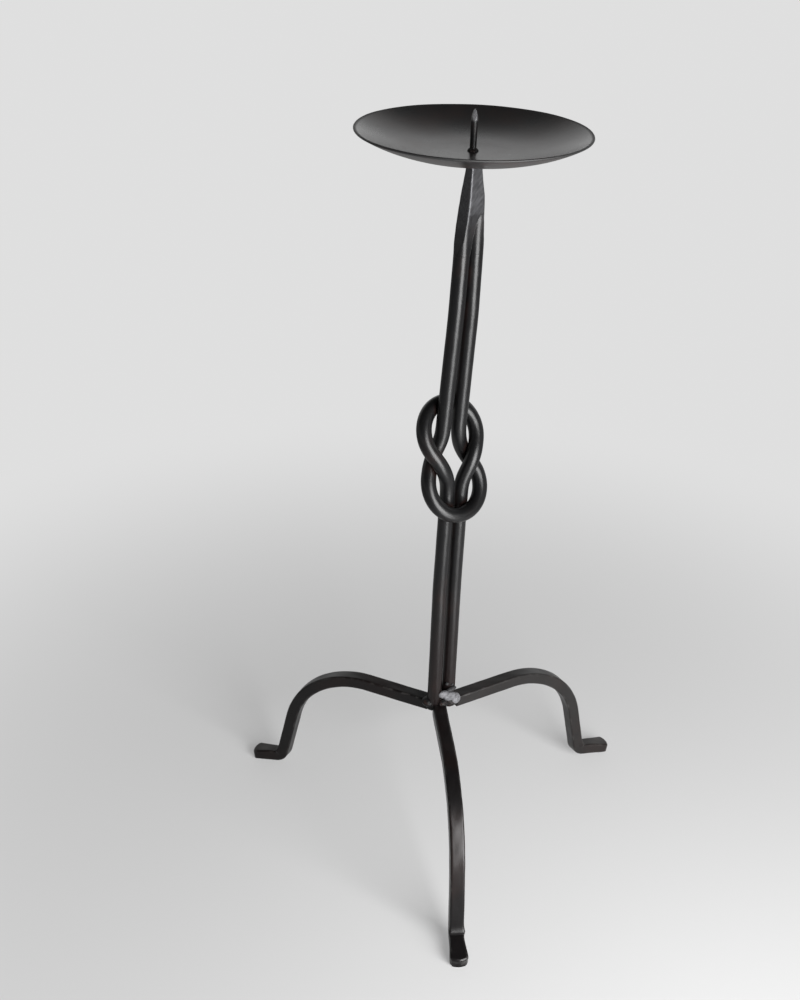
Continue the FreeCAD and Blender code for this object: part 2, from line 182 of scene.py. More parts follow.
class FinishColours(bpy.types.PropertyGroup):
    """Colours of the finishes."""
    black: colour("Black", "Blackened steel", (0.0028, 0.0028, 0.0030))
    brown: colour("Brown", "Brown tint in the blackening", (0.026, 0.010, 0.007))
    # The worn grey is also the colour that a leg's painted light is mixed towards.
    worn: colour("Worn", "Blackening worn thin at the edges", (0.10, 0.096, 0.092))
    filed: colour("Filed", "Filed faces of the taper", (0.048, 0.048, 0.051))
    dish: colour("Dish", "Satin steel of the dish", (0.006, 0.006, 0.0062))
    burnished: colour("Burnished", "Burnished weld", (0.34, 0.34, 0.36))


class StageSettings(bpy.types.PropertyGroup):
    """The floor and the light."""
    floor: colour("Floor", "Pale floor", (0.50, 0.50, 0.50))
    far_floor: colour("Far floor", "Even tone of the floor away from the object", (0.74, 0.74, 0.74))
    key_power: FloatProperty(name="Key power", description="Tall soft lamp at the front right",
                             default=16.0, min=0.0, unit="POWER")
    low_power: FloatProperty(name="Low power", description="Low strip lamp in front, facing up",
                             default=2.5, min=0.0, unit="POWER")
    near_power: FloatProperty(name="Near power",
                              description="Dim strip lamp between the low one and the stem",
                              default=0.14, min=0.0, unit="POWER")
    bright_side: FloatProperty(name="Bright side", description="Strength of the surroundings behind",
                               default=1.05, min=0.0)
    dim_side: FloatProperty(name="Dim side", description="Strength of the surroundings in front",
                            default=0.11, min=0.0)


class CandleHolder(bpy.types.PropertyGroup):
    """Everything that a user may change."""
    dish: PointerProperty(type=DishSizes)
    stem: PointerProperty(type=StemSizes)
    legs: PointerProperty(type=LegSizes)
    colours: PointerProperty(type=FinishColours)
    stage: PointerProperty(type=StageSettings)


# Surfaces

def unit(vectors):
    """Each vector divided by its own length."""
    return vectors / np.linalg.norm(vectors, axis=-1, keepdims=True)


def ease(low, high, values):
    """A smooth step: 0 below low, 1 above high, and 3t² - 2t³ of the way between them."""
    share = np.clip((values - low) / (high - low), 0.0, 1.0)
    return share * share * (3.0 - 2.0 * share)


def soft_least(first, second, blend):
    """The smaller of two values, rounded over where they differ by less than blend."""
    share = np.clip(0.5 + 0.5 * (second - first) / blend, 0.0, 1.0)
    return second + (first - second) * share - blend * share * (1.0 - share)


def ripple(along, around, seed):
    """Uneven waves between about -1 and 1: a sum of sines of two parameters at unlike rates."""
    return (np.sin(1.00 * along + 1.0 * around + 1.7 * seed)
            + 0.7 * np.sin(1.93 * along - 2.0 * around + 2.9 * seed)
            + 0.5 * np.sin(3.41 * along + 3.0 * around + 0.6 * seed)) / 1.8


def skin(rings, **marks):
    """A closed skin over a grid of points. Each ring joins round to its own start and to the next
    ring, and a fan to the middle of the first and of the last ring closes the ends."""
    count, around = rings.shape[:2]
    points = np.concatenate([rings.reshape(-1, 3), rings[[0, -1]].mean(axis=1)])
    here = np.arange(around)
    beside = np.roll(here, -1)
    row = around * np.arange(count - 1)[:, None]
    quads = np.stack([row + here, row + beside, row + around + beside, row + around + here], axis=-1)
    last = around * (count - 1)
    first_fan = np.stack([np.full(around, count * around), beside, here], axis=-1)
    last_fan = np.stack([np.full(around, count * around + 1), last + here, last + beside], axis=-1)
    faces = quads.reshape(-1, 4).tolist() + first_fan.tolist() + last_fan.tolist()
    values = {}
    for name, mark in marks.items():
        spread = np.broadcast_to(mark, (count, around))
        values[name] = np.append(spread.ravel(), spread[[0, -1]].mean(axis=1))
    return points, faces, values


def add_piece(name, skins, finish, node):
    """One object made of closed skins, in place of a CAD node and with its material slot."""
    mesh = bpy.data.meshes.new(name)
    shifts = np.cumsum([0] + [len(points) for points, _, _ in skins])
    faces = []
    for shift, (_, own, _) in zip(shifts, skins):
        faces += [[index + shift for index in face] for face in own]
    mesh.from_pydata(np.concatenate([points for points, _, _ in skins]).tolist(), [], faces,
                     shade_flat=False)
    names = set().union(*(marks for _, _, marks in skins))
    for mark in sorted(names):
        values = [marks.get(mark, np.zeros(len(points))) for points, _, marks in skins]
        layer = mesh.attributes.new(mark, "FLOAT", "POINT")
        layer.data.foreach_set("value", np.concatenate(values).astype(np.float32))
    mesh.set_sharp_from_angle(angle=math.radians(50.0))
    mesh.materials.append(finish)
    piece = bpy.data.objects.new(name, mesh)
    bpy.context.scene.collection.objects.link(piece)
    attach(piece, "root")
    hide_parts(node)
    return piece


def turned(radii, heights, around):
    """Rings of a profile turned about +Z: radius and height are given along the profile, which runs
    from the middle below, round the outside, to the middle above."""
    angle = np.linspace(0.0, 2.0 * np.pi, around, endpoint=False)
    radii, heights = np.broadcast_arrays(radii, heights)
    if radii.ndim == 1:
        radii, heights = (np.repeat(part[:, None], around, axis=1) for part in (radii, heights))
    return np.stack([radii * np.cos(angle), radii * np.sin(angle), heights], axis=-1)


def rounded_route(corners, bends, spread):
    """Evenly spaced points and directions along straight runs joined by tangent arcs, one arc of the
    given radius at each inner corner. A moving average of the given spread then softens the change
    from run to arc."""
    inner = corners[1:-1]
    back = unit(corners[:-2] - inner)
    ahead = unit(corners[2:] - inner)
    half = np.arccos((back * ahead).sum(axis=1)) / 2.0
    start = inner + back * (bends / np.tan(half))[:, None]
    centre = inner + unit(back + ahead) * (bends / np.sin(half))[:, None]
    swing = (np.pi - 2.0 * half)[:, None, None] * np.linspace(0.0, 1.0, 90)[None, :, None]
    arcs = (centre[:, None] + (start - centre)[:, None] * np.cos(swing)
            - (back * bends[:, None])[:, None] * np.sin(swing))
    line = np.concatenate([corners[:1], arcs.reshape(-1, 3), corners[-1:]])
    walked = np.append(0.0, np.cumsum(np.linalg.norm(np.diff(line, axis=0), axis=1)))
    step = 0.00025
    even = np.arange(0.0, walked[-1], step)
    line = np.stack([np.interp(even, walked, line[:, axis]) for axis in range(3)], axis=1)
    reach = int(3 * spread / step)
    window = np.exp(-0.5 * (np.arange(-reach, reach + 1) * step / spread) ** 2)
    window /= window.sum()
    padded = np.concatenate([2 * line[0] - line[reach:0:-1], line, 2 * line[-1] - line[-2:-reach - 2:-1]])
    line = np.stack([np.convolve(padded[:, axis], window, "valid") for axis in range(3)], axis=1)
    return even, line, unit(np.gradient(line, axis=0))


def along(walked, line, places):
    """Values of a line of vectors at given distances along it."""
    return np.stack([np.interp(places, walked, line[:, axis]) for axis in range(3)], axis=1)


def carried(middles, across, upward, outline):
    """Rings of an outline carried along a path: each point is the path's own point plus the outline's
    two measures along the directions across and upward there."""
    return (middles[:, None, :] + outline[..., 0, None] * across[:, None, :]
            + outline[..., 1, None] * upward[:, None, :])


def nearness(points, line, touch, reach):
    """1 where points lie within touch of a line, falling smoothly to 0 at reach."""
    flat = points.reshape(-1, 3)
    squares = (flat ** 2).sum(axis=1)[:, None] + (line ** 2).sum(axis=1) - 2.0 * flat @ line.T
    gap = np.sqrt(np.maximum(squares.min(axis=1), 0.0))
    return 1.0 - ease(touch, reach, gap).reshape(points.shape[:-1])


# Shapes of the pieces

def dish_skin(dish):
    """The dish as a turned profile: a level floor, an arc tangent to it whose end carries a half-round
    lip that touches the rim's height and the outer radius, and the inside at the sheet's thickness."""
    lip = dish.rim_thickness / 2.0
    run = dish.radius - lip - dish.floor_radius
    rise = dish.rim_height - lip - dish.underside
    arc = (run ** 2 + rise ** 2 - lip ** 2) / (2.0 * (rise - lip))
    end = math.asin(run / (arc - lip))
    turn = np.linspace(0.0, end, 72)
    sheet = dish.thickness + (dish.rim_thickness - dish.thickness) * (turn / end) ** 2
    floor = np.linspace(0.02, 0.98, 10) * dish.floor_radius
    fold = np.linspace(-0.5 * np.pi, 0.5 * np.pi, 15)[1:-1]
    lip_radii = dish.radius - lip + lip * (np.cos(fold) * math.cos(end) - np.sin(fold) * math.sin(end))
    lip_heights = dish.rim_height - lip + lip * (np.cos(fold) * math.sin(end) + np.sin(fold) * math.cos(end))
    top = dish.underside + arc
    inside = arc - sheet
    radii = np.concatenate([floor, dish.floor_radius + arc * np.sin(turn), lip_radii,
                            (dish.floor_radius + inside * np.sin(turn))[::-1], floor[::-1]])
    heights = np.concatenate([np.full(len(floor), dish.underside), top - arc * np.cos(turn), lip_heights,
                              (top - inside * np.cos(turn))[::-1],
                              np.full(len(floor), dish.underside + dish.thickness)])
    around = 288
    unevenness = 0.00012
    angle = np.linspace(0.0, 2.0 * np.pi, around, endpoint=False)
    outward = ease(0.3, 1.0, radii / dish.radius)[:, None]
    sag = unevenness * outward * (ripple(2.0 * angle, angle, 1.0) - 1.0)
    rings = turned(np.repeat(radii[:, None], around, axis=1), heights[:, None] + sag, around)
    # The rim mark carries painted shade: the finish darkens the rolled lip with it. On the taper and the legs
    # the same mark is real edge wear.
    near_rim = ease(0.97, 1.0, turn / end)
    level = np.zeros(len(floor))
    rim = np.concatenate([level, near_rim, np.ones(len(fold)), near_rim[::-1], level])
    return skin(rings, wear=rim[:, None])


def spike_skin(dish):
    """The spike as a turned shaft whose point is cut to five flats: the radius at an angle is the flat's
    distance over the cosine from its middle, and at most the shaft's own radius."""
    around = 80
    gap = 0.00005
    blend = 0.00012
    shaft = dish.spike_diameter / 2.0
    foot = dish.underside + dish.thickness + gap
    heights = np.concatenate([
        np.linspace(foot, dish.spike_top - dish.point_length - 0.001, 14),
        np.linspace(dish.spike_top - dish.point_length - 0.0008, dish.spike_top, 40),
    ])
    angle = np.linspace(0.0, 2.0 * np.pi, around, endpoint=False)
    flats = 2.0 * np.pi / 5.0
    off_flat = np.mod(angle + 0.4, flats) - flats / 2.0
    done = np.clip((heights - dish.spike_top + dish.point_length) / dish.point_length, 0.0, 1.0)[:, None]
    level = shaft * (1.02 - 0.72 * done ** 1.15 - 0.12 * done ** 6)
    radii = soft_least(level / np.cos(off_flat), np.full((1, around), shaft), blend)
    radii = np.where(done > 0.0, radii, shaft)
    rings = turned(radii, np.repeat(heights[:, None], around, axis=1), around)
    return skin(rings, ground=ease(0.02, 0.12, done))


def collar_skin(middle, inner, outer, low, high, seed, around=96):
    """A lumpy ring of weld: a quarter-round profile from the outer radius up to the inner one, turned
    about +Z, with its radius and height waved by the ripple formula."""
    angle = np.linspace(0.0, 2.0 * np.pi, around, endpoint=False)
    fall = np.linspace(0.0, 1.0, 14)[:, None]
    uneven = ripple(3.0 * angle, 2.0 * angle, seed)
    waves = ripple(9.0 * angle, 5.0 * angle, seed + 2.0)
    width = (outer - inner) * (0.86 + 0.14 * uneven)
    radii = inner + width * np.cos(0.5 * np.pi * fall) ** 1.4 + 0.04 * (outer - inner) * waves
    heights = low + (high - low) * (0.9 + 0.1 * waves) * np.sin(0.5 * np.pi * fall) ** 1.1
    rings = turned(radii, heights, around)
    return skin(rings + np.array(middle))


def hairpin_route(stem, shift, pitch, spread, entry, end, way):
    """Route of one hairpin bar: legs at half the pitch on each side of the pair's middle, which spread
    as they near the knot, then the knot's corners mirrored about the knot's middle. way is 1 if the
    legs go up, -1 if down. The upper legs lean evenly to the knot's middle, the lower ones stand
    upright."""
    rod = stem.rod
    side = np.zeros((len(KNOT_CORNERS) + 2, 3))
    side[:2, 0] = pitch / 2.0, spread / 2.0
    side[2:, 0] = KNOT_CORNERS[:, 0] * rod
    side[2, 0] = entry * rod
    spine = np.zeros_like(side)
    spine[:2, 0] = shift
    spine[2:, 0] = stem.knot_shift
    spine[:, 2] = stem.knot_height
    spine[0, 2] = end
    spine[1, 2] += way * stem.knot_reach
    spine[2:, 2] += way * KNOT_CORNERS[:, 2] * rod
    spine[2:, 1] = -way * KNOT_CORNERS[:, 1] * rod
    if way > 0.0:
        spine[1, 0] = np.interp(spine[1, 2], [spine[2, 2], end], [stem.knot_shift, shift])
    corners = np.concatenate([spine + side, (spine - side)[::-1]])
    bends = np.concatenate([KNOT_BENDS, KNOT_BENDS[::-1]]) * rod
    return rounded_route(corners, bends, 0.0022)


def hairpin_skin(stem, route, other, seed):
    """A round bar carried along its route. Its radius waves a little as forged bar does, both ends are
    bevelled, and the mark called groove grows where the other bar or its own other leg is close."""
    walked, line, heading = route
    radius = stem.rod / 2.0 + stem.scale
    bevel = 0.0006
    ends = np.array([0.0, 0.3, 1.0]) * bevel
    places = np.concatenate([ends, np.arange(0.0015, walked[-1] - 0.0015, 0.0009), walked[-1] - ends[::-1]])
    middles = along(walked, line, places)
    heading = unit(along(walked, heading, places))
    front = np.array([0.0, 1.0, 0.0])
    across = unit(front - (heading @ front)[:, None] * heading)
    upward = np.cross(heading, across)
    angle = np.linspace(0.0, 2.0 * np.pi, 64, endpoint=False)
    from_end = np.minimum(places, walked[-1] - places)
    shrink = np.interp(from_end, [0.0, bevel], [bevel, 0.0])[:, None]
    forged = 0.000025 * ripple(places[:, None] * 190.0, 2.0 * angle, seed)
    size = radius - shrink + forged
    outline = np.stack([size * np.cos(angle), size * np.sin(angle)], axis=-1)
    rings = carried(middles, across, upward, outline)
    touch = radius * 1.02
    reach = radius * 1.75
    close = nearness(rings, other[1][::6], touch, reach)
    half = len(line) // 2
    first = places < walked[-1] / 2.0
    own = np.where(first[:, None], nearness(rings, line[half::6], touch, reach),
                   nearness(rings, line[:half:6], touch, reach))
    bight = np.abs(places - walked[-1] / 2.0)[:, None]
    own = own * ease(0.030, 0.045, bight)
    return skin(rings, groove=np.maximum(close, own))


def taper_skin(stem):
    """The ground taper under the dish, as a radius at each angle and height: the outline of two round
    rods with a web of weld between them, cut by a rounded rectangle that narrows upwards. The web
    fills the groove between the rods towards the top."""
    head = stem.tip_head
    heights = np.linspace(head - stem.shoulder - 0.004, head, 160)
    angle = np.linspace(0.0, 2.0 * np.pi, 360, endpoint=False)
    below = (head - heights)[:, None]
    cosine, sine = np.abs(np.cos(angle)) + 1e-6, np.abs(np.sin(angle)) + 1e-6
    steps = np.array([0.0, 0.0085, 0.0195, 0.0305, 0.0385, 0.046, 0.060])
    half_width = np.interp(below, steps, np.array([2.80, 3.50, 4.85, 5.6, 6.6, 8.4, 9.5]) * 0.001)
    half_depth = np.interp(below, steps, np.array([2.20, 2.70, 3.85, 4.3, 4.5, 4.8, 5.0]) * 0.001)
    ground = ((cosine / half_width) ** 11 + (sine / half_depth) ** 11) ** (-1.0 / 11.0)
    radius, half_pitch = stem.rod / 2.0 + stem.scale, stem.upper_pitch / 2.0
    inside = radius ** 2 - (half_pitch * sine) ** 2
    rods = np.where(inside > 0.0, half_pitch * cosine + np.sqrt(np.maximum(inside, 0.0)), 0.0)
    web = np.interp(below, [0.0, 0.0265, 0.0290, 0.0325, 0.0385, 0.0450, 0.0500],
                    np.array([5.0, 4.3, 3.6, 2.9, 2.1, 1.4, 1.0]) * 0.001)
    filled = np.maximum(rods, np.minimum(web / sine, half_pitch / cosine))
    waviness = 0.00005
    under_rods = 0.0002
    blend = 0.0003
    worn_edge = 0.00042
    uneven = waviness * ripple(below * 420.0, angle, 4.0) * ease(0.0, 0.004, 0.044 - below)
    sunk = under_rods * ease(stem.shoulder, stem.shoulder + 0.004, below)
    reach = soft_least(filled, ground, blend) + uneven - sunk
    slope = (stem.upper_shift - stem.knot_shift) / (head - stem.shoulder - stem.knot_height)
    middle = (stem.tip_shift + (stem.upper_shift - stem.tip_shift) * ease(0.018, 0.036, below)
              - slope * np.maximum(below - stem.shoulder, 0.0))
    rings = np.stack([middle + reach * np.cos(angle), reach * np.sin(angle),
                      np.repeat(heights[:, None], 360, axis=1)], axis=-1)
    cut = ease(-0.0003, 0.0006, filled - ground)
    filed = (0.35 + 0.65 * cut) * (1.0 - ease(0.025, 0.045, below))
    corner = np.abs(np.arctan2(sine, cosine) - np.arctan2(half_depth, half_width)) * reach
    return skin(rings, filed=filed, wear=np.exp(-(corner / worn_edge) ** 2) * filed)


def bar_outline(width, thickness, edge):
    """A rounded rectangle, counter-clockwise, and a mark that is 1 on its rounded edges."""
    turn = np.linspace(0.0, 0.5 * np.pi, 9)
    half = np.array([width, thickness]) / 2.0 - edge
    signs = np.array([(1, 1), (-1, 1), (-1, -1), (1, -1)])
    arcs = [half * sign + edge * np.stack([np.cos(turn + 0.5 * np.pi * quarter),
                                           np.sin(turn + 0.5 * np.pi * quarter)], axis=1)
            for quarter, sign in enumerate(signs)]
    share = np.linspace(0.0, 1.0, 14)[1:-1, None]
    points, marks = [], []
    for arc, following in zip(arcs, arcs[1:] + arcs[:1]):
        points += [arc, arc[-1] + (following[0] - arc[-1]) * share]
        marks += [np.sin(2.0 * turn), np.zeros(12)]
    return np.concatenate(points), np.concatenate(marks)


def leg_skin(legs, stem, turn, run, reach, aside, lift, faded, seed):
    """A rounded square bar carried along its route in an upright plane: level from the rods, an arch,
    a straight shin, a tight heel and a foot. Hand work shows as a bulge and a crease inside the heel,
    a toe beaten wider and thinner with a bowed end, clipped ends and slightly waved faces."""
    angle = math.radians(turn)
    ahead = np.array([math.cos(angle), math.sin(angle), 0.0])
    beside = np.array([-math.sin(angle), math.cos(angle), 0.0])
    rods = stem.lower_pitch / 2.0 * abs(ahead[0]) + (stem.lower_shift - LEG_SHIFT) * ahead[0]
    root = rods + stem.rod / 2.0 + stem.scale
    sole = legs.thickness / 2.0
    knee = run + legs.arch * math.tan(legs.shin_angle / 2.0)
    drop = legs.height - sole - lift
    ankle = knee + drop / math.tan(legs.shin_angle)
    plan = np.array([(root, 0.0, legs.height), (knee, 0.0, legs.height),
                     (ankle, 0.0, sole + lift), (reach, aside, sole - 0.0001)])
    corners = (plan[:, :1] * ahead + plan[:, 1:2] * beside + plan[:, 2:] * np.array([0.0, 0.0, 1.0]))
    corners[:, 0] += LEG_SHIFT
    walked, line, heading = rounded_route(corners, np.array([legs.arch, legs.heel]), 0.0012)
    total = walked[-1]
    clip = np.array([0.0, 0.15, 0.4, 0.8, 1.3]) * 0.001
    places = np.concatenate([clip, np.arange(0.0018, total - 0.0018, 0.0007), total - clip[::-1]])
    middles = along(walked, line, places)
    heading = unit(along(walked, heading, places))
    across = unit(beside - (heading @ beside)[:, None] * heading)
    upward = np.cross(heading, across)
    outline, edges = bar_outline(legs.width, legs.thickness, legs.edge)
    heel = walked[np.linalg.norm(line - corners[2], axis=1).argmin()]
    past = (places - heel)[:, None]
    to_toe = (total - places)[:, None]
    top = ease(0.0, legs.thickness / 2.0, outline[:, 1])
    bulge = np.exp(-((past + 0.0022) / 0.0032) ** 2)
    crease = np.exp(-((past - 0.0016) / 0.0008) ** 2)
    flare = ease(0.0, 0.016, 0.016 - to_toe)
    wider = 1.0 + 0.18 * bulge * top + 0.26 * flare
    taller = 1.0 - 0.26 * flare * top + 0.16 * bulge * top - 0.09 * crease * top
    clipped = np.interp(to_toe, clip, [0.0011, 0.00085, 0.0005, 0.00015, 0.0])
    clipped = clipped + np.interp(places, clip, [0.0004, 0.0002, 0.00005, 0.0, 0.0])[:, None]
    hand = 0.00007 * ripple(places[:, None] * 130.0, outline[:, 0] * 300.0, seed)
    size = np.stack([outline[:, 0] * wider - np.sign(outline[:, 0]) * clipped,
                     outline[:, 1] * taller - np.where(outline[:, 1] > 0.0, clipped, 0.4 * clipped)], axis=-1)
    size += hand[..., None] * unit(outline)
    bow = 0.0010 * ease(0.0, 0.012, 0.012 - to_toe) * (2.0 * size[..., 0] / legs.width) ** 2
    rings = carried(middles, across, upward, size) - bow[..., None] * heading[:, None, :]
    rings[..., 2] = np.maximum(rings[..., 2], 0.0)
    worn = np.maximum(edges * (0.75 + 0.25 * ripple(places[:, None] * 90.0, edges, seed + 1.0)),
                      ease(0.0, 0.0012, 0.0016 - to_toe) * 0.8)
    # The last mark is painted light: how far the whole leg is painted a lighter grey.
    return skin(rings, wear=worn, faded=faded)


def lump_skin(middle, size, seed, rough, tilt, shine):
    """A lump of weld: an ellipsoid with poles above and below whose radius waves with direction. The
    mark called shine says how far it is burnished."""
    polar = np.linspace(0.02, np.pi - 0.02, 64)[::-1, None]
    angle = np.linspace(0.0, 2.0 * np.pi, 96, endpoint=False)
    way = np.stack([np.sin(polar) * np.cos(angle), np.sin(polar) * np.sin(angle),
                    np.cos(polar) * np.ones_like(angle)], axis=-1)
    waves = (ripple(4.1 * way[..., 0], 3.3 * way[..., 2], seed)
             + ripple(5.2 * way[..., 1], 4.4 * way[..., 0], seed + 3.0)
             + 0.6 * ripple(9.0 * way[..., 2], 8.0 * way[..., 1], seed + 5.0)) / 2.6
    swell = way * np.array(size) * (1.0 + rough * waves)[..., None]
    swell[..., 2] += tilt * swell[..., 0]
    return skin(swell + np.array(middle), shine=shine * np.clip(0.9 + 0.4 * waves, 0.0, 1.0))


# Finishes

class Wire:
    """A shader socket that Python's operators work on: each operation adds a Math node."""

    def __init__(self, finish, socket):
        self.finish = finish
        self.socket = socket

    def maths(self, operation, *terms):
        return self.finish.node("ShaderNodeMath", {"operation": operation}, dict(enumerate(terms)))

    def __add__(self, other):
        return self.maths("ADD", self, other)

    __radd__ = __add__

    def __sub__(self, other):
        return self.maths("SUBTRACT", self, other)

    def __rsub__(self, other):
        return self.maths("SUBTRACT", other, self)

    def __mul__(self, other):
        return self.maths("MULTIPLY", self, other)

    __rmul__ = __mul__

    def most(self, other):
        return self.maths("MAXIMUM", self, other)

    def step(self, low, high):
        """0 below low, 1 above high and a smooth rise between them."""
        return self.finish.node("ShaderNodeMapRange", {"interpolation_type": "SMOOTHSTEP"},
                                {"Value": self, "From Min": low, "From Max": high})


class Nodes:
    """A node tree that is filled from empty."""

    def __init__(self, tree):
        self.tree = tree
        self.tree.nodes.clear()

    def node(self, kind, settings=None, sockets=None, output=0):
        """A node of this kind: its settings first, then the values or links of its sockets."""
        node = self.tree.nodes.new(kind)
        for key, setting in (settings or {}).items():
            setattr(node, key, setting)
        for key, given in (sockets or {}).items():
            if isinstance(given, Wire):
                self.tree.links.new(given.socket, node.inputs[key])
            elif isinstance(given, (tuple, list)) and node.inputs[key].type == "RGBA":
                node.inputs[key].default_value = (*given[:3], 1.0)
            else:
                node.inputs[key].default_value = given
        return Wire(self, node.outputs[output]) if node.outputs else None


class Finish(Nodes):
    """A material and the nodes in it."""

    def __init__(self, name):
        self.material = bpy.data.materials.new(name)
        self.material.use_nodes = True
        super().__init__(self.material.node_tree)
        self.place = self.node("ShaderNodeTexCoord", output="Object")

    def noise(self, size, detail=3.0, roughness=0.55, where=None):
        """Noise whose features are about the given size in metres."""
        return self.node("ShaderNodeTexNoise", None, {
            "Vector": where or self.place, "Scale": 1.0 / size, "Detail": detail, "Roughness": roughness})

    def mark(self, name):
        """A value stored on the mesh."""
        return self.node("ShaderNodeAttribute", {"attribute_name": name}, output="Fac")

    def mix(self, share, first, second):
        """A colour that goes from the first to the second as share goes from 0 to 1."""
        return self.node("ShaderNodeMix", {"data_type": "RGBA", "clamp_factor": True},
                         {0: share, 6: first, 7: second}, output=2)

    def bump(self, height, depth, strength=1.0):
        """A normal tilted by a height from 0 to 1 that stands for the given depth in metres."""
        return self.node("ShaderNodeBump", None, {"Height": height, "Distance": depth, "Strength": strength})

    def surface(self, sockets):
        """The principled shader of this finish, wired to the output."""
        shader = self.node("ShaderNodeBsdfPrincipled", None, sockets)
        self.node("ShaderNodeOutputMaterial", None, {"Surface": shader})
        return self.material


def leg_finish(colours):
    """Blackened and waxed square bar: black with faint brown clouds, fine scale, a satin that varies and
    edges worn lighter in places."""
    finish = Finish("waxed_leg_steel")
    cloud = finish.noise(0.014, 4.0)
    patch = finish.noise(0.045, 3.0)
    scale = finish.noise(0.0011, 3.0, 0.6)
    grain = finish.noise(0.00035, 2.0)
    tint = 0.03 + patch.step(0.46, 0.70) * 0.14
    base = finish.mix(tint, tuple(colours.black), tuple(colours.brown))
    # Painted light: by this mark the whole leg is mixed towards the worn grey, which stands for the light
    # falling on its side.
    faded = finish.mark("faded") * (0.6 + 0.8 * cloud)
    base = finish.mix(scale.step(0.58, 0.80) * 0.06 + faded, base, tuple(colours.worn))
    rough = 0.22 + 0.10 * cloud + 0.08 * scale
    rub = finish.mark("wear") * finish.noise(0.006, 4.0, 0.6).step(0.46, 0.68)
    base = finish.mix(rub * 0.30, base, tuple(colours.worn))
    rough = rough - 0.05 * rub
    height = 0.62 * cloud + 0.26 * scale + 0.12 * grain
    return finish.surface({"Base Color": base, "Roughness": rough, "Specular IOR Level": 0.2,
                           "Normal": finish.bump(height, 0.00014, 0.45)})


def stem_finish(colours):
    """Blackened bar with filed grey faces on its taper: streaks of diagonal file marks, edges worn."""
    finish = Finish("waxed_stem_steel")
    cloud = finish.noise(0.014, 4.0)
    patch = finish.noise(0.045, 3.0)
    scale = finish.noise(0.0011, 3.0, 0.6)
    grain = finish.noise(0.00035, 2.0)
    filed = finish.mark("filed")
    tilted = finish.node("ShaderNodeMapping", {"vector_type": "TEXTURE"}, {
        "Vector": finish.place, "Rotation": (0.0, math.radians(-42.0), 0.0), "Scale": (9.0, 1.0, 1.0)})
    streaks = finish.noise(0.0006, 3.0, 0.6, where=tilted)
    height = finish.node("ShaderNodeSeparateXYZ", None, {"Vector": finish.place}, output="Z")
    tint = patch.step(0.54, 0.74) * 0.30 + finish.mark("groove") * 0.4 * cloud.step(0.35, 0.65)
    tint = (tint + 0.11 * (1.0 - height.step(0.10, 0.19))) * (1.0 - filed)
    base = finish.mix(tint, tuple(colours.black), tuple(colours.brown))
    base = finish.mix(scale.step(0.58, 0.80) * 0.06, base, tuple(colours.worn))
    base = finish.mix(filed * (0.35 + 0.65 * streaks.step(0.30, 0.72)), base, tuple(colours.filed))
    rub = finish.mark("wear") * cloud.step(0.25, 0.5)
    base = finish.mix(rub * 0.10, base, tuple(colours.burnished))
    rough = 0.22 + 0.10 * cloud + 0.08 * scale + 0.10 * filed
    relief = 0.50 * cloud + 0.34 * scale + 0.16 * grain + filed * 0.5 * streaks
    return finish.surface({"Base Color": base, "Roughness": rough, "Metallic": filed * 0.35,
                           "Specular IOR Level": 0.24, "Normal": finish.bump(relief, 0.00016, 0.5)})


def dish_finish(colours):
    """Satin grey-black sheet: cloudy tone, fine grain, a few faint specks, and a duller rim that is painted
    darker as painted shade.
    """
    finish = Finish("satin_dish_steel")
    cloud = finish.noise(0.022, 4.0)
    grain = finish.noise(0.0005, 3.0, 0.6)
    specks = finish.node("ShaderNodeTexVoronoi", {"feature": "F1"}, {"Vector": finish.place, "Scale": 62.0})
    speck = 1.0 - specks.step(0.030, 0.055)
    base = finish.mix(cloud.step(0.35, 0.70) * 0.40, tuple(colours.dish), tuple(colours.brown))
    base = finish.mix(grain.step(0.50, 0.8) * 0.04, base, tuple(colours.worn))
    # Painted shade: the rim is mixed towards black, standing for the dark line along the lip.
    base = finish.mix(finish.mark("wear") * 0.8, base, tuple(colours.black))
    base = finish.mix(speck * 0.20, base, tuple(colours.burnished))
    rough = 0.22 + 0.08 * cloud + 0.06 * grain + 0.3 * finish.mark("wear")
    return finish.surface({"Base Color": base, "Roughness": rough, "Specular IOR Level": 0.5,
                           "Normal": finish.bump(0.6 * cloud + 0.4 * grain, 0.00010, 0.4)})


def spike_finish(colours):
    """Blackened shaft whose flats at the point are ground to grey steel with fine cross scratches."""
    finish = Finish("ground_spike_steel")
    cloud = finish.noise(0.004, 3.0)
    across = finish.node("ShaderNodeMapping", None, {"Vector": finish.place, "Scale": (0.2, 0.2, 1.0)})
    scratch = finish.noise(0.0003, 2.0, where=across)
    ground = finish.mark("ground")
    base = finish.mix(cloud.step(0.5, 0.75) * 0.4, tuple(colours.black), tuple(colours.brown))
    base = finish.mix(ground * (0.10 + 0.20 * scratch), base, tuple(colours.burnished))
    rough = 0.30 + 0.12 * cloud
    return finish.surface({"Base Color": base, "Roughness": rough, "Metallic": ground * 0.4,
                           "Normal": finish.bump(0.5 * cloud + 0.5 * scratch, 0.00008, 0.5)})


def weld_finish(name, colours, burnished):
    """Weld metal: lumpy and scaled, black in its dips, and burnished bright on its crowns if asked."""
    finish = Finish(name)
    cloud = finish.noise(0.0032, 4.0, 0.6)
    scale = finish.noise(0.0008, 3.0, 0.6)
    base = finish.mix(cloud.step(0.5, 0.75) * 0.5, tuple(colours.black), tuple(colours.brown))
    rough = 0.44 + 0.16 * cloud + 0.08 * scale
    sockets = {"Specular IOR Level": 0.2, "Normal": finish.bump(0.7 * cloud + 0.3 * scale, 0.0003, 0.4)}
    if burnished:
        crown = finish.mark("shine") * (0.70 + 0.30 * cloud.step(0.30, 0.55))
        base = finish.mix(crown * (0.28 + 0.16 * scale), base, tuple(colours.burnished))
        rough = rough + 0.06 * crown
        sockets["Metallic"] = crown * 0.25
    return finish.surface({"Base Color": base, "Roughness": rough, **sockets})


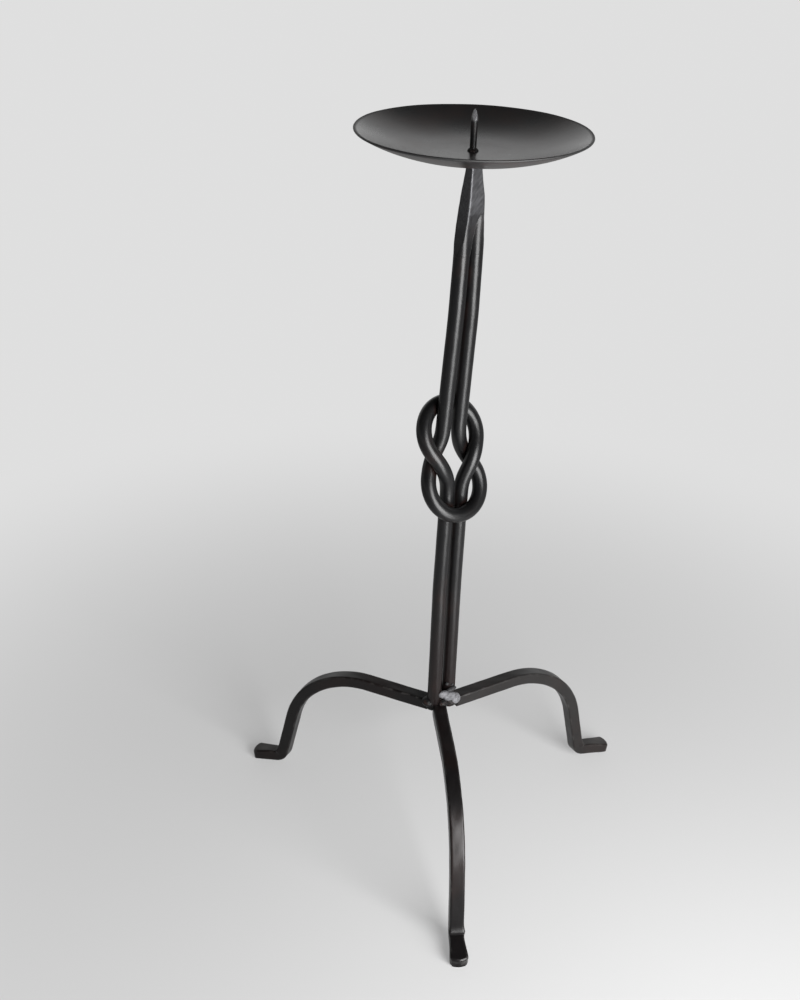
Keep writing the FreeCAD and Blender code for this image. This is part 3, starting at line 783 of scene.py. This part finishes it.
def floor_finish(stage):
    """A matt pale floor with a faint cloudy grain. To the camera and in reflections it turns into an even
    tone of its own with distance from the object, and it takes the object's shadow near it."""
    finish = Finish("pale_floor")
    cloud = finish.noise(0.35, 3.0)
    tone = tuple(stage.floor)
    base = finish.mix(cloud, tuple(0.97 * part for part in tone), tuple(1.02 * part for part in tone))
    matt = finish.node("ShaderNodeBsdfDiffuse", None, {"Color": base})
    even = finish.node("ShaderNodeEmission", None, {"Color": tuple(stage.far_floor), "Strength": 1.0})
    away = finish.node("ShaderNodeVectorMath", {"operation": "LENGTH"}, {0: finish.place}, output="Value")
    seen = finish.node("ShaderNodeLightPath", output="Is Camera Ray") * (0.4 + 0.6 * away.step(0.10, 0.60))
    for ray in ("Is Glossy Ray", "Is Transmission Ray"):
        seen = seen.most(finish.node("ShaderNodeLightPath", output=ray) * 0.25)
    mixed = finish.node("ShaderNodeMixShader", None, {0: seen, 1: matt, 2: even})
    finish.node("ShaderNodeOutputMaterial", None, {"Surface": mixed})
    return finish.material


# Operators

class CANDLE_OT_dish(bpy.types.Operator):
    """Add the drip dish"""
    bl_idname = "candle_holder.add_dish"
    bl_label = "Drip Dish"

    def execute(self, context):
        holder = context.scene.candle_holder
        add_piece("pressed_dish", [dish_skin(holder.dish)], dish_finish(holder.colours),
                  "drip_dish")
        return {"FINISHED"}


class CANDLE_OT_spike(bpy.types.Operator):
    """Add the spike and the weld round its foot"""
    bl_idname = "candle_holder.add_spike"
    bl_label = "Spike"

    def execute(self, context):
        holder = context.scene.candle_holder
        dish = holder.dish
        add_piece("pointed_spike", [spike_skin(dish)], spike_finish(holder.colours),
                  "pricket_spike")
        shaft = dish.spike_diameter / 2.0
        floor = dish.underside + dish.thickness
        collar = collar_skin((0.0, 0.0, 0.0), shaft * 0.9, shaft + dish.collar_width, floor,
                             floor + dish.collar_height, 3.0)
        add_piece("spike_collar", [collar], weld_finish("spike_collar_weld", holder.colours, False),
                  "spike_weld")
        return {"FINISHED"}


class CANDLE_OT_stem(bpy.types.Operator):
    """Add the two knotted bars and the fillet under the dish"""
    bl_idname = "candle_holder.add_stem"
    bl_label = "Knotted Stem"

    def execute(self, context):
        holder = context.scene.candle_holder
        stem = holder.stem
        upper = hairpin_route(stem, stem.upper_shift, stem.upper_pitch, stem.upper_spread, UPPER_ENTRY,
                              stem.tip_head - stem.shoulder, 1.0)
        lower = hairpin_route(stem, stem.lower_shift, stem.lower_pitch, stem.lower_spread, LOWER_ENTRY,
                              stem.rod_end, -1.0)
        finish = stem_finish(holder.colours)
        add_piece("upper_hairpin", [hairpin_skin(stem, upper, lower, 1.0), taper_skin(stem)], finish,
                  "upper_knot_bar")
        add_piece("lower_hairpin", [hairpin_skin(stem, lower, upper, 2.0)], finish,
                  "lower_knot_bar")
        underside = holder.dish.underside
        inner = 0.0020
        outer = 0.0046
        depth = 0.0018
        points, faces, marks = collar_skin((stem.tip_shift, 0.0, 0.0), inner, outer, 0.0, depth, 5.0)
        points = points * np.array([1.0, 1.0, -1.0]) + np.array([0.0, 0.0, underside])
        fillet = (points, [face[::-1] for face in faces], marks)
        add_piece("dish_fillet", [fillet], weld_finish("dish_fillet_weld", holder.colours, False),
                  "dish_weld")
        return {"FINISHED"}


class CANDLE_OT_legs(bpy.types.Operator):
    """Add the three legs"""
    bl_idname = "candle_holder.add_legs"
    bl_label = "Legs"

    def execute(self, context):
        holder = context.scene.candle_holder
        finish = leg_finish(holder.colours)
        for seed, (node, measures) in enumerate(LEGS.items(), start=1):
            shape = leg_skin(holder.legs, holder.stem, *measures, float(seed))
            add_piece(f"{node}_bar", [shape], finish, node)
        return {"FINISHED"}


class CANDLE_OT_hub(bpy.types.Operator):
    """Add the weld beads of the hub"""
    bl_idname = "candle_holder.add_hub"
    bl_label = "Hub Welds"

    def execute(self, context):
        colours = context.scene.candle_holder.colours
        dark = weld_finish("hub_dark_weld", colours, False)
        bright = weld_finish("burnished_weld", colours, True)
        beads = (("burnished_bead", bright, "front_hub_weld", "bright_weld"),
                 ("dark_bead", dark, "left_hub_weld", "dark_weld"),
                 ("rear_bead", dark, "back_hub_weld", "dark_weld"))
        for name, finish, node, slot in beads:
            add_piece(name, [lump_skin(*lump) for lump in HUB_LUMPS[node]], finish, node)
        return {"FINISHED"}


class CANDLE_OT_stage(bpy.types.Operator):
    """Add the floor, the light and the camera"""
    bl_idname = "candle_holder.add_stage"
    bl_label = "Stage"

    def execute(self, context):
        stage = context.scene.candle_holder.stage
        self.add_floor(context, stage)
        self.add_light(context, stage)
        self.add_camera(context)
        context.scene.view_settings.view_transform = "Standard"
        return {"FINISHED"}

    def add_floor(self, context, stage):
        """A level square far larger than the view."""
        mesh = bpy.data.meshes.new("floor")
        half = 8.0
        mesh.from_pydata([(-half, -half, 0.0), (half, -half, 0.0), (half, half, 0.0), (-half, half, 0.0)],
                         [], [(0, 1, 2, 3)])
        mesh.materials.append(floor_finish(stage))
        floor = bpy.data.objects.new("floor", mesh)
        context.scene.collection.objects.link(floor)

    def add_light(self, context, stage):
        """A tall soft lamp at the front right, two low strips before it that face up, and surroundings
        that are pale low down at the back and dim in front and overhead."""
        powers = {"key": stage.key_power, "low_strip": stage.low_power, "near_strip": stage.near_power}
        for name, measures in LAMPS.items():
            self.add_lamp(context, name, powers[name], *measures)

        behind = (0.669, 0.743, 0.0)
        world = bpy.data.worlds.new("soft_room")
        world.use_nodes = True
        room = Nodes(world.node_tree)
        way = room.node("ShaderNodeTexCoord", output="Generated")
        back = room.node("ShaderNodeVectorMath", {"operation": "DOT_PRODUCT"},
                         {0: way, 1: behind}, output="Value")
        height = room.node("ShaderNodeSeparateXYZ", None, {"Vector": way}, output="Z")
        pale = back.step(0.1, 0.8) * (1.0 - height.step(0.25, 0.75))
        strength = stage.dim_side + (stage.bright_side - stage.dim_side) * pale
        shown = room.node("ShaderNodeLightPath", output="Is Glossy Ray")
        shown = shown.most(room.node("ShaderNodeLightPath", output="Is Transmission Ray"))
        shown = shown * (1.0 - height.step(0.15, 0.45)) * (1.0 - pale)
        shown = shown.most(room.node("ShaderNodeLightPath", output="Is Camera Ray"))
        strength = strength * (1.0 - shown) + sum(stage.far_floor) / 3.0 * shown
        light = room.node("ShaderNodeBackground", None, {"Color": (1.0, 1.0, 1.0), "Strength": strength})
        room.node("ShaderNodeOutputWorld", None, {"Surface": light})
        context.scene.world = world

    def add_lamp(self, context, name, power, width, long, out, height, tilt):
        """A rectangular lamp at a distance out from the stem, tilted from facing down."""
        turn = math.radians(LAMP_TURN)
        lamp = bpy.data.lights.new(name, "AREA")
        lamp.shape = "RECTANGLE"
        lamp.size = width
        lamp.size_y = long
        lamp.energy = power
        holder = bpy.data.objects.new(name, lamp)
        holder.location = (out * math.cos(turn), out * math.sin(turn), height)
        holder.rotation_euler = (math.radians(tilt), 0.0, turn + math.radians(90.0))
        holder.visible_camera = False
        context.scene.collection.objects.link(holder)

    def add_camera(self, context):
        """The viewpoint: out and up from the stem, turned down, with a slight roll."""
        lens = bpy.data.cameras.new("camera")
        lens.sensor_fit = "VERTICAL"
        lens.sensor_height = 24.0
        lens.lens = 30.475
        lens.shift_x = -0.0248
        lens.shift_y = 0.1183
        lens.clip_end = 50.0
        out = 0.61539
        up = 0.55490
        pitch = math.radians(33.524)
        yaw = math.radians(-1.186)
        roll = math.radians(2.543)
        turn = math.radians(-42.0)
        forward = Vector((math.sin(yaw) * math.cos(pitch), math.cos(yaw) * math.cos(pitch), -math.sin(pitch)))
        level = Vector((math.cos(yaw), -math.sin(yaw), 0.0))
        above = level.cross(forward)
        right = level * math.cos(roll) + above * math.sin(roll)
        top = above * math.cos(roll) - level * math.sin(roll)
        pose = Matrix((right, top, -forward)).transposed().to_4x4()
        pose.translation = Vector((0.0, -out, up))
        camera = bpy.data.objects.new("camera", lens)
        camera.matrix_world = Matrix.Rotation(turn, 4, "Z") @ pose
        context.scene.collection.objects.link(camera)
        context.scene.camera = camera


class CANDLE_PT_panel(bpy.types.Panel):
    """Sizes, colours and pieces of the candle holder"""
    bl_idname = "CANDLE_PT_panel"
    bl_label = "Candle Holder"
    bl_space_type = "VIEW_3D"
    bl_region_type = "UI"
    bl_category = "Candle Holder"

    def draw(self, context):
        holder = context.scene.candle_holder
        for title, group in (("Dish and spike", holder.dish), ("Stem", holder.stem), ("Legs", holder.legs),
                             ("Colours", holder.colours), ("Stage", holder.stage)):
            box = self.layout.box()
            box.label(text=title)
            for name in group.__annotations__:
                box.prop(group, name)
        for operator in OPERATORS:
            self.layout.operator(operator.bl_idname)


OPERATORS = (CANDLE_OT_dish, CANDLE_OT_spike, CANDLE_OT_stem, CANDLE_OT_legs, CANDLE_OT_hub, CANDLE_OT_stage)
CLASSES = (DishSizes, StemSizes, LegSizes, FinishColours, StageSettings, CandleHolder, *OPERATORS,
           CANDLE_PT_panel)


def register():
    """Make the sizes, operators and panel known to Blender."""
    for item in CLASSES:
        bpy.utils.register_class(item)
    bpy.types.Scene.candle_holder = PointerProperty(type=CandleHolder)


def unregister():
    """Take them away again."""
    del bpy.types.Scene.candle_holder
    for item in reversed(CLASSES):
        bpy.utils.unregister_class(item)


def main():
    """Build every piece and the stage."""
    register()
    bpy.ops.candle_holder.add_dish()
    bpy.ops.candle_holder.add_spike()
    bpy.ops.candle_holder.add_stem()
    bpy.ops.candle_holder.add_legs()
    bpy.ops.candle_holder.add_hub()
    bpy.ops.candle_holder.add_stage()


if __name__ == "__main__":
    main()
